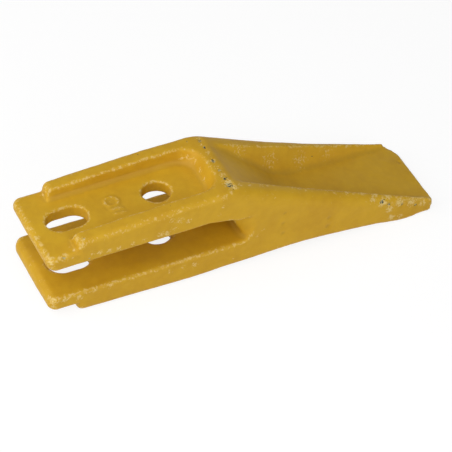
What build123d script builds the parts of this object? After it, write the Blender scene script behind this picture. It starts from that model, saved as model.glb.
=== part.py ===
from build123d import *
import os
from math import hypot, radians, tan

# Bolt-on bucket tooth, one steel casting of fork type.
# Its jaw slides over the bucket lip, and two bolts pass through both shanks and the lip.
# Frame: origin on the round bolt hole's axis, midway between the shanks.
# +X points to the tip, +Z up along the bolt, and +Y across the tooth. Lengths are millimetres.

# Bolts and their holes
bolt_hole_diameter = 20.5
bolt_pitch = 68.0
slot_length = 30.5
hole_mouth_chamfer = 3.0

# Shanks and jaw
tooth_width = 72.0
jaw_gap = 26.0
shank_thickness = 12.5
slot_end_margin = 28.8
shank_edge_radius = 4.2
shank_corner_radius = 7.0

# Jaw root, which follows the bevelled edge of the lip
roof_bevel_start = 26.0
roof_bevel_end = 44.0
roof_bevel_drop = 3.5
root_bottom_x = 55.0
root_fillet = 3.0
jaw_mouth_radius = 3.0
flare_depth = 9.0
flare_top_reach = 17.0
flare_middle_reach = 11.5
flare_roof_fall = 1.0

# Ribs beside the bolt-head channels
rib_start = -74.0
rib_back_rise = 8.0
rib_top_rise = 10.9
rib_crown_x = 5.0
keel_start = -76.0
keel_back_rise = 6.8
keel_rise = 9.8
keel_crown_x = 12.0
rib_edge_radius = 4.2
keel_edge_radius = 4.2
rib_end_radius = 5.0
keel_end_radius = 4.0

# Channels for the bolt head and the nut
channel_width = 45.0
channel_end = 34.0
channel_corner_radius = 14.0
channel_wall_draft = 5.0
channel_front_slope = 7.0
channel_floor_fillet = 3.0

# Blade, from the crest to the tip
crest_x = 49.0
tip_x = 209.3
blade_sag_x = 120.0
blade_sag_z = 4.6
blade_knee_x = 193.0
blade_knee_z = -22.7
tip_top_z = -32.0
tip_bottom_z = -42.6
tip_undercut = 2.0
sole_x = 175.0
sole_z = -42.2
belly_x = 132.0
belly_z = -36.1
belly_start_x = 85.0
belly_start_z = -33.4
blade_edge_radius = 9.0
tip_far_radius = 19.0
tip_near_radius = 4.0
tip_edge_radius = 2.5

# Scoop in the blade's upper face, between two side ridges
scoop_front_slope = 39.8
scoop_floor_slope = 12.6
scoop_bend_radius = 60.0
ridge_inset_at_crest = 15.0
ridge_inset_at_tip = 3.5
ridge_wall_slope = 62.0
scoop_corner_radius = 4.0

# Worn corner of the tip, on the near side
worn_start_x = 145.0
worn_start_z = -5.0
worn_sole_x = 173.5
worn_depth_at_tip = 2.6

# Extra length and height that a cutter has beyond the metal
overrun = 60.0
# How far an edge may lie from the place where it is looked for
near_enough = 0.5

half_width = tooth_width / 2
jaw_face = jaw_gap / 2
shank_face = jaw_face + shank_thickness
back_x = -bolt_pitch - slot_end_margin
crest_z = shank_face + rib_top_rise
keel_z = -shank_face - keel_rise
anywhere = (-1000.0, 1000.0)


def edges_within(solid, x=anywhere, y=anywhere, z=anywhere):
    """The edges that lie wholly between the given limits."""
    found = []
    for edge in solid.edges():
        box = edge.bounding_box()
        spans = ((box.min.X, box.max.X, x), (box.min.Y, box.max.Y, y), (box.min.Z, box.max.Z, z))
        if all(low > span[0] - near_enough and high < span[1] + near_enough for low, high, span in spans):
            found.append(edge)
    return found


def runs_lengthwise(edge):
    """True for an edge that runs along the tooth and not across it."""
    size = edge.bounding_box().size
    return size.X > max(size.Y, 2 * near_enough)


def corner_at(sketch, x, z):
    """The corner of a side sketch that lies nearest to the given place."""
    return sketch.vertices().sort_by(lambda corner: hypot(corner.X - x, corner.Z - z))[0]


def side_outline():
    """The whole tooth seen from its side, ribs and keels included and the jaw still solid."""
    with BuildSketch(Plane.XZ) as sketch:
        with BuildLine():
            Polyline(
                (back_x, -shank_face),
                (back_x, shank_face),
                (rib_start, shank_face),
                (rib_start, shank_face + rib_back_rise),
                (rib_crown_x, crest_z),
                (crest_x, crest_z),
            )
            ThreePointArc((crest_x, crest_z), (blade_sag_x, blade_sag_z), (blade_knee_x, blade_knee_z))
            Polyline(
                (blade_knee_x, blade_knee_z),
                (tip_x, tip_top_z),
                (tip_x - tip_undercut, tip_bottom_z),
                (sole_x, sole_z),
            )
            ThreePointArc((sole_x, sole_z), (belly_x, belly_z), (belly_start_x, belly_start_z))
            Polyline(
                (belly_start_x, belly_start_z),
                (keel_crown_x, keel_z),
                (keel_start, -shank_face - keel_back_rise),
                (keel_start, -shank_face),
                (back_x, -shank_face),
            )
        make_face()
        tip_corners = sketch.vertices().sort_by(Axis.X)[-2:]
        fillet(tip_corners, radius=tip_edge_radius)
        rib_end = corner_at(sketch, rib_start, shank_face + rib_back_rise)
        fillet(rib_end, radius=rib_end_radius)
        keel_end = corner_at(sketch, keel_start, -shank_face - keel_back_rise)
        fillet(keel_end, radius=keel_end_radius)
    return sketch.sketch


def rounded_block():
    """The side outline given its width, with its long outer edges worn round."""
    block = extrude(side_outline(), amount=half_width, both=True)
    top = edges_within(block, x=(crest_x, blade_knee_x), z=(blade_knee_z, crest_z))
    block = fillet([edge for edge in top if runs_lengthwise(edge)], radius=blade_edge_radius)
    rib_tops = edges_within(block, x=(rib_start, crest_x), z=(shank_face + near_enough * 2, crest_z))
    block = fillet([edge for edge in rib_tops if runs_lengthwise(edge)], radius=rib_edge_radius)
    under = edges_within(block, x=(keel_start, sole_x), z=(sole_z - overrun, -shank_face - near_enough * 2))
    return fillet([edge for edge in under if runs_lengthwise(edge)], radius=keel_edge_radius)


def tip_corner_cutter(side, radius):
    """What lies outside the tip's rounded corner, as seen from above. Side is 1 or -1."""
    reach = radius + near_enough
    with BuildSketch() as sketch:
        with Locations((tip_x - radius + reach / 2, side * (half_width - radius + reach / 2))):
            Rectangle(reach, reach)
        with Locations((tip_x - radius, side * (half_width - radius))):
            Circle(radius, mode=Mode.SUBTRACT)
    return extrude(sketch.sketch, amount=crest_z + overrun, both=True)


def jaw_cutter():
    """The space that the bucket lip fills, open at the back and on both sides."""
    with BuildSketch(Plane.XZ) as sketch:
        with BuildLine():
            Polyline(
                (back_x - overrun, -jaw_face),
                (back_x - overrun, jaw_face),
                (roof_bevel_start, jaw_face),
                (roof_bevel_end, jaw_face - roof_bevel_drop),
                (root_bottom_x, -jaw_face),
                close=True,
            )
        make_face()
        root_corners = sketch.vertices().sort_by(Axis.X)[-2:]
        fillet(root_corners, radius=root_fillet)
    return extrude(sketch.sketch, amount=half_width + overrun, both=True)


def root_flare():
    """One side's flare, where the jaw's root opens out to the side of the tooth."""
    roof_z = jaw_face - roof_bevel_drop
    middle_z = -jaw_face / 4
    root_lean = (root_bottom_x - roof_bevel_end) / (jaw_face + roof_z)
    middle_x = root_bottom_x - root_lean * (middle_z + jaw_face)
    inner = (
        (roof_bevel_start, roof_z),
        (roof_bevel_end, roof_z),
        (middle_x, middle_z),
        (root_bottom_x - root_fillet / 2, -jaw_face),
        (roof_bevel_start, -jaw_face),
    )
    outer = (
        (roof_bevel_start, roof_z),
        (roof_bevel_end + flare_top_reach, roof_z - flare_roof_fall),
        (middle_x + flare_middle_reach, middle_z),
        (root_bottom_x, -jaw_face),
        (roof_bevel_start, -jaw_face),
    )
    sections = []
    for y, corners in ((half_width - flare_depth, inner), (half_width + near_enough, outer)):
        with BuildSketch(Plane.XZ.offset(-y)) as sketch:
            with BuildLine():
                Polyline(*corners, close=True)
            make_face()
        sections.append(sketch.sketch)
    return loft(sections, ruled=True)


def round_back_ends(body):
    """Rounds the jaw's mouth edges, the shanks' back corners and all that is left sharp there."""
    mouth = []
    for face in (jaw_face, -jaw_face):
        flat = edges_within(body, x=(back_x, root_bottom_x), z=(face, face))
        mouth += [edge for edge in flat if runs_lengthwise(edge)]
    body = fillet(mouth, radius=jaw_mouth_radius)
    corners = edges_within(body, x=(back_x, back_x))
    upright = [edge for edge in corners if edge.bounding_box().size.Z > shank_thickness / 3]
    body = fillet(upright, radius=shank_corner_radius)
    return fillet(edges_within(body, x=(back_x, back_x + shank_corner_radius)), radius=shank_edge_radius)


def channel_cutter():
    """The pocket for the bolt head on top of the upper shank, open at the back."""
    height = rib_top_rise + 1
    spread = height * tan(radians(channel_wall_draft))
    sections = []
    for rise, grow, ahead in ((0, 0, 0), (height, spread, channel_front_slope)):
        reach = channel_end + ahead
        with BuildSketch(Plane.XY.offset(shank_face + rise)) as sketch:
            with Locations(((back_x - overrun + reach) / 2, 0)):
                Rectangle(reach - back_x + overrun, channel_width + 2 * grow)
            corners = sketch.vertices().sort_by(Axis.X)[-2:]
            fillet(corners, radius=channel_corner_radius + grow)
        sections.append(sketch.sketch)
    cutter = loft(sections, ruled=True)
    floor = cutter.faces().sort_by(Axis.Z)[0]
    return fillet(floor.edges(), radius=channel_floor_fillet)


def scoop_floor():
    """The scoop's profile from the crest to the tip, as a cutter across the whole width."""
    drop = tan(radians(scoop_front_slope))
    fall = tan(radians(scoop_floor_slope))
    bend_x = (crest_z - tip_top_z + drop * crest_x - fall * tip_x) / (drop - fall)
    bend_z = crest_z - drop * (bend_x - crest_x)
    with BuildSketch(Plane.XZ) as sketch:
        with BuildLine():
            Polyline(
                (crest_x - overrun, crest_z + drop * overrun),
                (bend_x, bend_z),
                (tip_x + overrun, tip_top_z - fall * overrun),
                (tip_x + overrun, crest_z + drop * overrun),
                close=True,
            )
        make_face()
        bend = sketch.vertices().sort_by(lambda v: hypot(v.X - bend_x, v.Z - bend_z))[0]
        fillet(bend, radius=scoop_bend_radius)
    return extrude(sketch.sketch, amount=half_width + overrun, both=True)


def ridge_wedge():
    """The space between the inner walls of the two side ridges."""
    slope = tan(radians(ridge_wall_slope))
    edge_fall = (crest_z - tip_top_z) / (tip_x - crest_x)
    flare = (ridge_inset_at_crest - ridge_inset_at_tip) / (tip_x - crest_x)
    top = crest_z + overrun
    sections = []
    for x in (crest_x - overrun / 4, tip_x + overrun / 4):
        edge_z = crest_z - edge_fall * (x - crest_x)
        edge_y = half_width - ridge_inset_at_crest + flare * (x - crest_x)
        wide = edge_y + (top - edge_z) / slope
        with BuildSketch(Plane((x, 0, 0), x_dir=(0, 1, 0), z_dir=(1, 0, 0))) as sketch:
            with BuildLine():
                Polyline((0, edge_z - slope * edge_y), (wide, top), (-wide, top), close=True)
            make_face()
        sections.append(sketch.sketch)
    return loft(sections, ruled=True)


def scoop_cutter():
    """The scoop: its floor profile closed in by the ridges' inner walls, with a rounded foot."""
    cutter = scoop_floor() & ridge_wedge()
    foot = []
    for edge in cutter.edges():
        box = edge.bounding_box()
        crosses = box.size.Y > half_width
        if edge.length > tip_x - blade_knee_x and not crosses and box.max.Z < crest_z + overrun / 2:
            foot.append(edge)
    return fillet(foot, radius=scoop_corner_radius)


def worn_corner_cutter():
    """What wear has taken off the tip's near corner: all that lies outside one slanted plane."""
    side_y = -half_width
    start = Vector(worn_start_x, side_y, worn_start_z)
    at_sole = Vector(worn_sole_x, side_y, tip_bottom_z)
    at_tip = Vector(tip_x, side_y + worn_depth_at_tip, tip_top_z)
    outward = (at_tip - start).cross(at_sole - start)
    if outward.Y > 0:
        outward = -outward
    plane = Plane(origin=start, x_dir=at_sole - start, z_dir=outward)
    return extrude(plane * Rectangle(6 * overrun, 6 * overrun), amount=overrun)


def bolt_holes():
    """The round hole and the slotted hole, as one cutter through both shanks."""
    with BuildSketch(Plane.XY) as sketch:
        Circle(bolt_hole_diameter / 2)
        with Locations((-bolt_pitch, 0)):
            SlotOverall(slot_length, bolt_hole_diameter)
    return extrude(sketch.sketch, amount=shank_face + overrun, both=True)


def open_hole_mouths(body):
    """Opens each hole out where it meets the jaw, on the upper and on the lower shank."""
    back_end = -bolt_pitch - slot_length / 2
    reach = bolt_hole_diameter / 2
    rims = []
    for face in (jaw_face, -jaw_face):
        rims += edges_within(body, x=(back_end, reach), y=(-reach, reach), z=(face, face))
    return chamfer(rims, length=hole_mouth_chamfer)


def tooth():
    """The whole casting."""
    body = rounded_block()
    body -= tip_corner_cutter(1, tip_far_radius)
    body -= tip_corner_cutter(-1, tip_near_radius)
    body -= jaw_cutter()
    body = round_back_ends(body)
    flare = root_flare()
    body -= flare
    body -= mirror(flare, about=Plane.XZ)
    channel = channel_cutter()
    body -= channel
    body -= mirror(channel, about=Plane.XY)
    body -= scoop_cutter()
    body -= worn_corner_cutter()
    body -= bolt_holes()
    return open_hole_mouths(body)


os.makedirs("parts", exist_ok=True)
export_step(tooth(), "parts/tooth.step")
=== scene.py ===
from math import cos, radians, sin

import bpy
import numpy as np
from mathutils import Matrix, Vector


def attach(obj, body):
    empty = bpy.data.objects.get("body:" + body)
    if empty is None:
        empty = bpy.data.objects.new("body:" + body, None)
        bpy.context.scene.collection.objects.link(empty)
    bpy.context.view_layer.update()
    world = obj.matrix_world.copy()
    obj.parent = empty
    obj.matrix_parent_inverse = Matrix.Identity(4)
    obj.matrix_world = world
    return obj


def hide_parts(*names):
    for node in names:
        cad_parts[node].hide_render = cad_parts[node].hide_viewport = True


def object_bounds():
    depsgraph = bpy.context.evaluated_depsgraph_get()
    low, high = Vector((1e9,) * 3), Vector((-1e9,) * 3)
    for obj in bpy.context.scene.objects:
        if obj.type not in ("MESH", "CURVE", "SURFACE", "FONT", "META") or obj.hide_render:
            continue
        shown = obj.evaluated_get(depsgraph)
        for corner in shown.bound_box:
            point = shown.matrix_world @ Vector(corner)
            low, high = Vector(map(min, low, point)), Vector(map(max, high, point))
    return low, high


# Bolt-on bucket tooth: a worn, yellow-painted casting on a white floor.
# Everything is in metres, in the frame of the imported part. Lists marked mm are turned into metres where they are used.
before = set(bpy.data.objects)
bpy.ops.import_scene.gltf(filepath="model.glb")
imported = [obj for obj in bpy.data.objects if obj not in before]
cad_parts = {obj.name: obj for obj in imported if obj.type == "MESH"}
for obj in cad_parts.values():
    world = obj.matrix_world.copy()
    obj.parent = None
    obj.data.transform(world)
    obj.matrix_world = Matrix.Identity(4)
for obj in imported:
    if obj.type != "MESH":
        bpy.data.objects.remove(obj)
cad_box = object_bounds()

MM = 0.001

# How finely the casting is remeshed, and how far its skin stays inside the box of the part
SKIN_STEP = 1.12 * MM
BOX_MARGIN = 0.02 * MM


# Small helpers

def activate(piece):
    """Makes the piece the only selected and the active one."""
    bpy.ops.object.select_all(action="DESELECT")
    piece.select_set(True)
    bpy.context.view_layer.objects.active = piece


def add_modifier(piece, kind, **settings):
    """Adds one modifier with the given settings and applies it."""
    modifier = piece.modifiers.new(kind.lower(), kind)
    for name, value in settings.items():
        setattr(modifier, name, value)
    activate(piece)
    bpy.ops.object.modifier_apply(modifier=modifier.name)


def read_points(mesh):
    """The mesh's vertices as an array of rows, in millimetres."""
    flat = np.empty(len(mesh.vertices) * 3)
    mesh.vertices.foreach_get("co", flat)
    return flat.reshape(-1, 3) / MM


def write_points(mesh, points):
    """Puts an array of rows in millimetres back into the mesh."""
    mesh.vertices.foreach_set("co", (points * MM).ravel())
    mesh.update()


def read_normals(mesh):
    """The direction in which each vertex faces."""
    flat = np.empty(len(mesh.vertices) * 3)
    mesh.vertices.foreach_get("normal", flat)
    return flat.reshape(-1, 3)


def ramp(value, low, high):
    """0 below low, 1 above high, and a smooth rise between them."""
    t = np.clip((value - low) / (high - low), 0, 1)
    return t * t * (3 - 2 * t)


def relaxed(points, links, rounds):
    """The points after each has moved to the middle of its neighbours, a number of times."""
    count = len(points)
    ends = np.concatenate([links[:, 0], links[:, 1]])
    others = np.concatenate([links[:, 1], links[:, 0]])
    shares = np.maximum(np.bincount(ends, minlength=count), 1)[:, None]
    for _ in range(rounds):
        sums = [np.bincount(ends, weights=points[others, axis], minlength=count) for axis in range(3)]
        points = points * 0.5 + np.stack(sums, axis=1) / shares * 0.5
    return points


# The casting

def merged_copy(node, name):
    """A copy of a node with its loose triangles joined up."""
    mesh = node.data.copy()
    mesh.name = name
    mesh.materials.clear()
    piece = bpy.data.objects.new(name, mesh)
    bpy.context.scene.collection.objects.link(piece)
    activate(piece)
    bpy.ops.object.mode_set(mode="EDIT")
    bpy.ops.mesh.select_all(action="SELECT")
    bpy.ops.mesh.remove_doubles(threshold=0.001 * MM)
    bpy.ops.object.mode_set(mode="OBJECT")
    return piece


def weigh(piece, name, weights):
    """Gives the piece a vertex group with one weight for each vertex."""
    group = piece.vertex_groups.new(name=name)
    for step in range(1, 11):
        chosen = np.nonzero(np.round(weights * 10) == step)[0]
        group.add(chosen.tolist(), step / 10, "REPLACE")
    return group.name


def soften(piece):
    """Rounds what a foundry pattern has round: the ribs, their inner edges, the crest and the jaw's flares."""
    points = read_points(piece.data)
    x, y, z = points.T
    side = np.abs(y)
    ribs = ramp(z, 26.5, 30) * ramp(-x, -62, -56)
    keels = ramp(-z, 26.5, 29) * ramp(-x, -60, -45)
    add_modifier(piece, "SMOOTH", factor=0.5, iterations=22, vertex_group=weigh(piece, "ribs", np.maximum(ribs, keels)))
    crest = ramp(x, 38, 44) * ramp(-x, -62, -54) * ramp(z, 20, 28)
    flares = ramp(side, 24, 28) * ramp(x, 36, 42) * ramp(-x, -72, -66) * ramp(-np.abs(z + 2), -18, -14)
    add_modifier(piece, "SMOOTH", factor=0.5, iterations=10, vertex_group=weigh(piece, "flares", np.maximum(crest, flares)))
    blade = ramp(x, 55, 62)
    add_modifier(piece, "SMOOTH", factor=0.5, iterations=5, vertex_group=weigh(piece, "blade", blade))


def roughen(piece):
    """Gives the casting its uneven skin: a slow wave, a hammered look and fine sand."""
    for name, size, depth in (("wave", 26, 0.7), ("hammered", 9, 0.32), ("sand", 2.6, 0.16)):
        texture = bpy.data.textures.new(name, "CLOUDS")
        texture.noise_scale = size * MM
        texture.noise_depth = 2
        add_modifier(piece, "DISPLACE", texture=texture, texture_coords="LOCAL", strength=depth * MM, mid_level=0.8)


# Dents in mm: where, how wide, how deep
DENTS = (
    ((204.8, 12, -31), 2.2, 1.6),
    ((45.4, -25.3, 36.4), 4.5, 1.2),
    ((46.4, -30.4, 36.3), 3, 0.8),
    ((45.4, 26.2, 36.4), 2.5, 0.8),
    ((45.6, 17.2, 36.4), 2, 0.6),
    ((45.3, 2.1, 36.4), 2.2, 0.7),
    ((-0.5, 31.3, 36.2), 1.8, 0.9),
    ((-84.2, -35, 24), 2, 0.8),
    ((165.4, -34.5, -17.4), 3, 0.9),
    ((170.8, -35.2, -22.2), 2.5, 0.9),
    ((182.5, -34.8, -27), 3, 0.8),
    ((121.2, -36, -16.4), 3, 0.9),
    ((120.6, -36, -24.5), 3.5, 0.9),
    ((85.2, -36, 1.9), 2.5, 0.6),
    ((83.9, -36, -7.4), 2.5, 0.6),
    ((83.9, -36, -16.9), 3, 0.6),
)


def dent(piece):
    """Pushes in each dent, against the direction in which the skin faces."""
    points = read_points(piece.data)
    normals = read_normals(piece.data)
    push = np.zeros(len(points))
    for centre, width, depth in DENTS:
        away = np.linalg.norm(points - np.array(centre), axis=1)
        push = np.maximum(push, depth * (1 - ramp(away, 0, width)))
    write_points(piece.data, points - normals * push[:, None])


# Plain raised foundry marks on the channel's floor, in mm: a ring and two bars
RING_CENTRE = (-33, 3.2)
RING_RADIUS = 4.8
BARS = (((-36, -4.5), (-28.5, -5.5)), ((-35, -9.5), (-27.5, -10.5)))


def raise_marks(piece):
    """Lifts a plain ring and two bars from the floor of the upper channel."""
    points = read_points(piece.data)
    x, y, z = points.T
    from_ring = np.abs(np.hypot(x - RING_CENTRE[0], y - RING_CENTRE[1]) - RING_RADIUS)
    nearest = from_ring
    for start, end in BARS:
        a, b = np.array(start), np.array(end)
        along = np.clip(((points[:, :2] - a) @ (b - a)) / ((b - a) @ (b - a)), 0, 1)
        nearest = np.minimum(nearest, np.linalg.norm(points[:, :2] - a - along[:, None] * (b - a), axis=1))
    lift = 0.7 * (1 - ramp(nearest, 0.3, 2.0)) * ramp(z, 23, 24)
    lift[z > 27] = 0
    points[:, 2] += lift
    write_points(piece.data, points)


def keep_inside(piece, box):
    """Moves back what the rough skin put outside the box of the part."""
    points = read_points(piece.data)
    low = (np.array(box[0]) + BOX_MARGIN) / MM
    high = (np.array(box[1]) - BOX_MARGIN) / MM
    write_points(piece.data, np.clip(points, low, high))


# Wear and painted highlights, in mm: where, how far it reaches, how strong it is. Scuffs lighten the paint, the four
# wide patches on the scoop's far inner wall are a painted highlight where that wall is lit, and bare places lose it.
SCUFFS_AND_HIGHLIGHTS = (
    ((45.2, 29.3, 36.4), 5, 0.7), ((45.4, 20.3, 36.4), 5, 0.6), ((45.5, 12, 36.4), 5, 0.6), ((45.2, 2.8, 36.4), 5, 0.7),
    ((45.4, -5.4, 36.4), 5, 0.6), ((45, -14.5, 36.4), 5, 0.8), ((45.2, -22.6, 36.4), 7, 1.0), ((46.6, -27.8, 36.4), 6, 1.0),
    ((29.3, 20.8, 29.4), 4, 0.8), ((32.8, 18.3, 30.1), 4, 0.9), ((35.5, 13.9, 29.9), 4, 0.7), ((36, 4.5, 28.8), 4, 0.8),
    ((35.2, -4, 27.5), 4, 0.8),
    ((-94.4, 12.3, 25.1), 3.5, 0.6), ((-94.8, 0.8, 24.9), 3.5, 0.8), ((-94.4, -9.8, 25.1), 4, 0.8), ((-95.1, -23.2, 24.7), 4, 0.8),
    ((-95, -33.7, 21.5), 5, 0.8),
    ((-94.9, 25.4, -15.2), 3, 0.5), ((-94.8, 6.3, -15.1), 3, 0.6), ((-94.7, -12.5, -15), 3, 0.6), ((-95, -28.3, -15.3), 4, 0.8),
    ((-3.8, -36, 30), 5, 0.6), ((2.3, -36, 26.7), 6, 0.8), ((9.2, -36, 23.1), 5, 0.7), ((-12.2, -36, 18.9), 5, 0.9),
    ((-7.6, -36, 18.1), 5, 0.9), ((-1.5, -36, 20.5), 5, 0.6),
    ((-64.1, -36, 20.5), 4, 0.8), ((-58.1, -36, 19.5), 4, 0.9), ((-50.7, -36, 18.4), 4, 0.9), ((-43.2, -36, 18.4), 4, 0.9),
    ((-33.4, -36, 18.4), 4, 0.8), ((-24.3, -36, 18.4), 4, 0.6),
    ((-72.5, -29.3, 32.2), 3.5, 0.8), ((-75.9, -31.6, 25.5), 3, 1.0), ((-77, -27.9, 25.5), 3, 0.7), ((-74.4, 28.8, 25.5), 3, 0.8),
    ((-73.1, 31.3, 31.5), 3, 0.5), ((-67.7, -31.2, 33.7), 4, 0.8),
    ((-92.8, -34.2, -14.4), 5, 0.9), ((-84.6, -35.9, -15.2), 5, 0.9), ((-74.4, -36, -17.3), 5, 0.9), ((-62.8, -36, -15.6), 4, 0.7),
    ((-51.4, -36, -15.8), 4, 0.7), ((-33.8, -35.9, -15.5), 3, 0.7), ((-16.2, -36, -16.1), 3, 0.6),
    ((52.7, -26.4, 34.6), 4, 0.8), ((60.9, -25.8, 30.8), 4, 0.8), ((70.7, -25.1, 26.2), 4, 0.8), ((75.4, -25.2, 24.1), 3, 0.8),
    ((95.7, -25.9, 15.1), 3, 0.9), ((100.5, -26.5, 12.9), 3, 0.9), ((105.6, -27.8, 10.6), 3, 0.8), ((128, -29, 1), 3, 0.7),
    ((138, -29, -2.5), 4, 0.8), ((150.8, -28.3, -7.7), 5, 0.9), ((161, -29.6, -11.9), 5, 1.0), ((171.3, -31, -16.1), 6, 1.0),
    ((157.5, -33, -14), 5, 1.0), ((165, -34.5, -19), 6, 1.0), ((172, -35, -26), 7, 1.0), ((180, -34.8, -24), 7, 1.0),
    ((190, -34, -28), 7, 1.0), ((200, -34, -32), 6, 0.9), ((173, -35.5, -35), 5, 1.0), ((181, -35, -37), 5, 0.9),
    ((33.3, -36, 20.7), 2.5, 0.9), ((35.6, -36, 27.2), 2.5, 0.9), ((55.5, -36, -25.8), 2.5, 0.6), ((62.5, -36, -12), 3, 0.7),
    ((67.6, -36, -7.1), 3, 0.7), ((77.4, -34.5, 18.6), 2, 1.0), ((44.6, -36, -26.8), 2, 1.0), ((80.3, -36, -29.2), 2, 1.0),
    ((59.1, -36, -9), 2.5, 1.0), ((-5.4, -36, -19.9), 4, 0.7), ((5.5, -36, -20.2), 4, 0.7), ((14, -36, -20.7), 5, 0.9),
    ((-31, -4, 25.5), 5, 0.6), ((-35, 4, 25.5), 3, 0.5),
    # The four wide patches from (75, 20.5, 20.8) on are a painted highlight on the scoop's far inner wall where it is
    # lit
    ((159.3, 28.5, -11.5), 3, 0.8), ((168.2, 29.2, -15.2), 3, 0.8), ((75, 20.5, 20.8), 12, 0.45), ((98.7, 18.6, 4.1), 13, 0.5),
    ((124.5, 20.5, -6.8), 13, 0.5), ((150, 24, -12), 12, 0.4),
)
BARE = (
    ((45.4, -25.3, 36.4), 4.5, 1.0), ((46.4, -30.4, 36.3), 2.5, 0.6), ((44.4, -17.6, 36.4), 4, 0.6), ((45.4, 26.2, 36.4), 3, 0.8),
    ((45.6, 17.2, 36.4), 3, 0.7), ((45.3, 2.1, 36.4), 3, 0.8), ((45.3, -8.9, 36.4), 3, 0.6), ((-0.5, 31.3, 36.2), 1.8, 1.0),
    ((-6.5, 23.1, 32.6), 1.3, 1.0), ((-4.5, 11.4, 25.5), 1.2, 1.0), ((-0.7, -27.4, 36.2), 1.2, 1.0), ((-84.2, -35, 24), 2.4, 1.0),
    ((-67.7, -31.2, 33.7), 1.5, 0.7), ((-65.7, -36, 17.2), 1.5, 0.7), ((36.5, 28.3, 36.4), 1.5, 0.8), ((165.4, -34.5, -17.4), 3.5, 0.9),
    ((170.8, -35.2, -22.2), 3, 0.9), ((182.5, -34.8, -27), 2.5, 0.8), ((193.6, -34.3, -31.9), 2, 0.7), ((206.3, -33.7, -35.4), 1.5, 0.7),
    ((135.8, 22.5, -9.6), 1.2, 1.0),
)


def brushed(points, strokes):
    """How strongly each point is touched by the strokes, from 0 to 1."""
    touch = np.zeros(len(points))
    for centre, reach, strength in strokes:
        away = np.linalg.norm(points - np.array(centre), axis=1)
        touch = np.maximum(touch, strength * (1 - ramp(away, 0, reach)))
    return touch


def mark_wear_and_painted_light(piece):
    """Stores what the paint needs to know of each vertex: edge, hollow, scuff and bare. Hollow weighs the painted shade
    in creases, and scuff weighs wear together with a painted highlight.
    """
    mesh = piece.data
    points = read_points(mesh)
    links = np.empty(len(mesh.edges) * 2, dtype=np.int32)
    mesh.edges.foreach_get("vertices", links)
    links = links.reshape(-1, 2)
    bulge = ((points - relaxed(points, links, 14)) * read_normals(mesh)).sum(axis=1)
    layers = {
        "edge": ramp(bulge, 0.06, 0.42),
        # hollow weighs the painted shade that darkens creases and inner corners
        "hollow": ramp(-bulge, 0.05, 0.35),
        "scuff_and_highlight": brushed(points, SCUFFS_AND_HIGHLIGHTS),
        "bare": brushed(points, BARE),
    }
    for name, values in layers.items():
        layer = mesh.attributes.new(name, "FLOAT", "POINT")
        layer.data.foreach_set("value", values.astype(np.float32))


def make_casting():
    """The whole tooth, from a copy of its node to the worn skin."""
    piece = merged_copy(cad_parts["tooth"], "tooth_casting")
    add_modifier(piece, "REMESH", mode="VOXEL", voxel_size=SKIN_STEP, adaptivity=0)
    soften(piece)
    roughen(piece)
    dent(piece)
    raise_marks(piece)
    keep_inside(piece, cad_box)
    mark_wear_and_painted_light(piece)
    piece.vertex_groups.clear()
    activate(piece)
    bpy.ops.object.shade_smooth()
    return piece


# Materials

class Nodes:
    """Builds a node tree one node at a time."""

    def __init__(self, tree):
        self.tree = tree

    def add(self, kind, inputs=None, **settings):
        node = self.tree.nodes.new(kind)
        for name, value in settings.items():
            setattr(node, name, value)
        for key, value in (inputs or {}).items():
            if isinstance(value, bpy.types.NodeSocket):
                self.tree.links.new(value, node.inputs[key])
            else:
                node.inputs[key].default_value = value
        return node

    def math(self, operation, a, b=0.0, c=0.0, clamp=False):
        return self.add("ShaderNodeMath", {0: a, 1: b, 2: c}, operation=operation, use_clamp=clamp).outputs[0]

    def noise(self, place, scale, detail=3.0, roughness=0.55):
        inputs = {"Vector": place, "Scale": scale, "Detail": detail, "Roughness": roughness}
        return self.add("ShaderNodeTexNoise", inputs).outputs["Fac"]

    def spread(self, value, low, high, to_low=0.0, to_high=1.0):
        inputs = {"Value": value, "From Min": low, "From Max": high, "To Min": to_low, "To Max": to_high}
        return self.add("ShaderNodeMapRange", inputs, interpolation_type="SMOOTHSTEP").outputs["Result"]

    def mix(self, factor, a, b):
        inputs = {0: factor, 6: a, 7: b}
        return self.add("ShaderNodeMix", inputs, data_type="RGBA").outputs[2]

    def attribute(self, name):
        return self.add("ShaderNodeAttribute", attribute_name=name).outputs["Fac"]

    def millimetres(self):
        place = self.add("ShaderNodeTexCoord").outputs["Object"]
        scale = 1 / MM
        return self.add("ShaderNodeMapping", {"Vector": place, "Scale": (scale, scale, scale)}).outputs["Vector"]


def speckle_group():
    """A mask of torn specks: where a soft weight is beaten by noise of a given size."""
    tree = bpy.data.node_groups.new("Torn specks", "ShaderNodeTree")
    sockets = (("Place", "NodeSocketVector"), ("Weight", "NodeSocketFloat"), ("Size", "NodeSocketFloat"), ("Softness", "NodeSocketFloat"))
    for name, kind in sockets:
        tree.interface.new_socket(name, in_out="INPUT", socket_type=kind)
    tree.interface.new_socket("Mask", in_out="OUTPUT", socket_type="NodeSocketFloat")
    make = Nodes(tree)
    given = make.add("NodeGroupInput").outputs
    scale = make.math("DIVIDE", 1.0, given["Size"])
    grain = make.noise(given["Place"], scale, detail=4.0, roughness=0.62)
    grain = make.spread(grain, 0.3, 0.7)
    level = make.math("SUBTRACT", 1.0, given["Weight"])
    over = make.math("SUBTRACT", grain, level)
    mask = make.math("DIVIDE", over, given["Softness"], clamp=True)
    mask = make.math("MULTIPLY", mask, make.math("GREATER_THAN", given["Weight"], 0.01))
    out = tree.nodes.new("NodeGroupOutput")
    tree.links.new(mask, out.inputs["Mask"])
    return tree


PAINT_LIGHT = (0.69, 0.405, 0.018, 1)
PAINT_DEEP = (0.57, 0.305, 0.012, 1)
PAINT_PALE = (0.84, 0.66, 0.27, 1)
# The deep brown below is painted shade for hollows and creases
PAINT_HOLLOW_SHADE = (0.40, 0.225, 0.024, 1)
BARE_RIM = (0.42, 0.44, 0.27, 1)
BARE_METAL = (0.035, 0.04, 0.03, 1)


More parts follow.
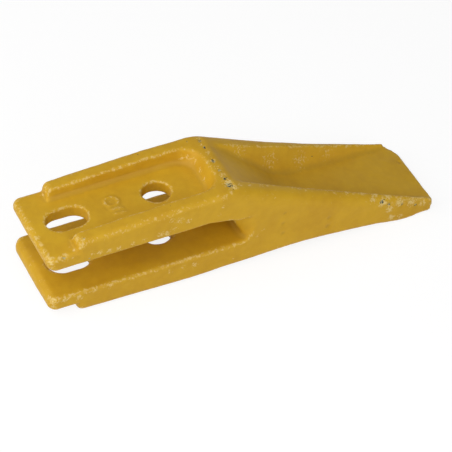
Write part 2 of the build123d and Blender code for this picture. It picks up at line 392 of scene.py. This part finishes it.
def enamel():
    """Ochre enamel over rough cast steel, scuffed on its edges and chipped to the metal in places, with painted shade
    in its hollows and a painted highlight on the scoop's far inner wall.
    """
    material = bpy.data.materials.new("ochre_enamel")
    material.use_nodes = True
    tree = material.node_tree
    tree.nodes.clear()
    make = Nodes(tree)
    place = make.millimetres()
    specks = speckle_group()

    def torn_mask(weight, size, softness):
        inputs = {"Place": place, "Weight": weight, "Size": size, "Softness": softness}
        return make.add("ShaderNodeGroup", inputs, node_tree=specks).outputs["Mask"]

    drift = make.spread(make.noise(place, 1 / 34, 3.0), 0.3, 0.7)
    blotch = make.spread(make.noise(place, 1 / 7, 3.0), 0.25, 0.75)
    grain = make.noise(place, 1 / 1.1, 3.0, 0.6)
    tone = make.math("ADD", make.math("MULTIPLY", drift, 0.45), make.math("MULTIPLY", blotch, 0.35))
    tone = make.math("ADD", tone, make.math("MULTIPLY", grain, 0.35), clamp=True)
    colour = make.mix(tone, PAINT_DEEP, PAINT_LIGHT)

    # Painted shade: the paint turns a deeper brown in hollows, creases and inner corners, by how far each vertex lies
    # below its neighbours
    hollow = make.attribute("hollow")
    colour = make.mix(make.math("MULTIPLY", hollow, 0.35), colour, PAINT_HOLLOW_SHADE)

    edge = make.attribute("edge")
    edge_wear = torn_mask(make.math("MULTIPLY", edge, 0.72), 2.2, 0.5)
    colour = make.mix(make.math("MULTIPLY", edge_wear, 0.5), colour, PAINT_PALE)

    # The scuff mask lightens the paint for wear on edges and, on the scoop's far inner wall, as a painted highlight
    scuff_and_highlight = torn_mask(make.attribute("scuff_and_highlight"), 1.7, 0.45)
    colour = make.mix(make.math("MULTIPLY", scuff_and_highlight, 0.7), colour, PAINT_PALE)

    bare = make.attribute("bare")
    rim = torn_mask(make.math("MULTIPLY", bare, 1.15), 2.0, 0.25)
    colour = make.mix(make.math("MULTIPLY", rim, 0.75), colour, BARE_RIM)
    metal = torn_mask(make.math("MULTIPLY", bare, 0.92), 1.6, 0.2)
    colour = make.mix(metal, colour, BARE_METAL)

    worn = make.math("MAXIMUM", scuff_and_highlight, rim)
    roughness = make.spread(worn, 0.0, 1.0, 0.46, 0.62)
    roughness = make.math("ADD", roughness, make.math("MULTIPLY", grain, 0.08))

    pits = make.noise(place, 1 / 2.4, 3.0, 0.6)
    height = make.math("ADD", make.math("MULTIPLY", pits, 0.6), make.math("MULTIPLY", grain, 0.25))
    height = make.math("SUBTRACT", height, make.math("MULTIPLY", worn, 0.25))
    bump = make.add("ShaderNodeBump", {"Strength": 0.5, "Distance": 0.35 * MM, "Height": height})

    shader = make.add("ShaderNodeBsdfPrincipled", {"Base Color": colour, "Roughness": roughness, "Normal": bump.outputs[0]})
    shader.inputs["Specular IOR Level"].default_value = 0.25
    out = tree.nodes.new("ShaderNodeOutputMaterial")
    tree.links.new(shader.outputs[0], out.inputs["Surface"])
    return material


# The place where the tooth is photographed

def white_floor_material():
    """White to the camera, with the tooth's shadow left on it, and see-through from below."""
    material = bpy.data.materials.new("white_floor")
    material.use_nodes = True
    tree = material.node_tree
    tree.nodes.clear()
    make = Nodes(tree)
    matt = make.add("ShaderNodeBsdfDiffuse", {"Color": (0.8, 0.8, 0.8, 1)}).outputs[0]
    glow = make.add("ShaderNodeEmission", {"Color": (1, 1, 1, 1), "Strength": 0.86}).outputs[0]
    dim = make.add("ShaderNodeBsdfDiffuse", {"Color": (0.2, 0.2, 0.2, 1)}).outputs[0]
    seen = make.add("ShaderNodeAddShader", {0: glow, 1: dim}).outputs[0]
    path = make.add("ShaderNodeLightPath").outputs
    straight = make.math("MAXIMUM", path["Is Camera Ray"], path["Is Glossy Ray"])
    front = make.add("ShaderNodeMixShader", {0: straight, 1: matt, 2: seen}).outputs[0]
    clear = make.add("ShaderNodeBsdfTransparent").outputs[0]
    behind = make.add("ShaderNodeNewGeometry").outputs["Backfacing"]
    both = make.add("ShaderNodeMixShader", {0: behind, 1: front, 2: clear}).outputs[0]
    out = tree.nodes.new("ShaderNodeOutputMaterial")
    tree.links.new(both, out.inputs["Surface"])
    return material


# The tooth stands on the back ends of its keels and on the tip's sole, in mm as (x, z)
REAR_FOOT = (-71.5, -32.4)
FRONT_FOOT = (190.0, -42.6)


def lay_floor():
    """A wide floor that touches the tooth where it stands."""
    slope = (FRONT_FOOT[1] - REAR_FOOT[1]) / (FRONT_FOOT[0] - REAR_FOOT[0])
    middle_x = 56.0
    middle_z = REAR_FOOT[1] + slope * (middle_x - REAR_FOOT[0])
    bpy.ops.mesh.primitive_plane_add(size=6, location=(middle_x * MM, 0, middle_z * MM), rotation=(0, np.arctan(-slope), 0))
    floor = bpy.context.object
    floor.name = "floor"
    floor.data.materials.append(white_floor_material())


def light_world():
    """A white world that lights the tooth evenly and shows white to the camera."""
    world = bpy.data.worlds.new("studio")
    bpy.context.scene.world = world
    world.use_nodes = True
    tree = world.node_tree
    tree.nodes.clear()
    make = Nodes(tree)
    path = make.add("ShaderNodeLightPath").outputs
    straight = make.math("MAXIMUM", path["Is Camera Ray"], path["Is Glossy Ray"])
    strength = make.spread(straight, 0.0, 1.0, 0.1, 1.0)
    sky = make.add("ShaderNodeBackground", {"Color": (1, 1, 1, 1), "Strength": strength}).outputs[0]
    out = tree.nodes.new("ShaderNodeOutputWorld")
    tree.links.new(sky, out.inputs["Surface"])


# Soft boxes: name, azimuth and elevation in degrees, power in watts
SOFT_BOXES = (
    ("left_box", -85, 20, 5.4),
    ("front_box", 10, 20, 4.6),
    ("back_left_box", -120, 50, 2.8),
    ("front_left_box", -40, 50, 3.5),
    ("top_box", 0, 85, 1.7),
)
BOX_DISTANCE = 1.2
BOX_SIZE = 0.7


def direction(azimuth, elevation):
    """Unit vector towards a place round the tooth, as seen from it. Azimuth 0 is in front of the near side."""
    a, e = radians(azimuth), radians(elevation)
    return Vector((sin(a) * cos(e), -cos(a) * cos(e), sin(e)))


def set_lamps():
    """Large soft lamps that look at the middle of the tooth."""
    target = Vector((56 * MM, 0, 0))
    for name, azimuth, elevation, power in SOFT_BOXES:
        towards = direction(azimuth, elevation)
        data = bpy.data.lights.new(name, "AREA")
        data.size = BOX_SIZE
        data.energy = power
        lamp = bpy.data.objects.new(name, data)
        lamp.location = target + towards * BOX_DISTANCE
        lamp.rotation_mode = "QUATERNION"
        lamp.rotation_quaternion = (-towards).to_track_quat("-Z", "Y")
        bpy.context.scene.collection.objects.link(lamp)


def set_camera():
    """The camera at the photograph's place, level apart from a slight roll."""
    azimuth, elevation, roll = -25.696, 43.33, radians(1.156)
    back = direction(azimuth, elevation)
    level = (-back).cross(Vector((0, 0, 1))).normalized()
    upright = level.cross(-back)
    right = level * cos(roll) + upright * sin(roll)
    up = upright * cos(roll) - level * sin(roll)
    data = bpy.data.cameras.new("camera")
    data.sensor_width = 36
    data.lens = 36 * 2400 / 452
    data.clip_start = 0.05
    data.clip_end = 20
    camera = bpy.data.objects.new("camera", data)
    bpy.context.scene.collection.objects.link(camera)
    turn = Matrix((right, up, back)).transposed().to_4x4()
    camera.matrix_world = Matrix.Translation(Vector((-496.3, -1146.2, 1170.5)) * MM) @ turn
    bpy.context.scene.camera = camera


bpy.context.scene.view_settings.view_transform = "Standard"
casting = make_casting()
casting.data.materials.append(enamel())
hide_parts("tooth")
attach(casting, "root")
lay_floor()
light_world()
set_lamps()
set_camera()

bpy.context.view_layer.update()
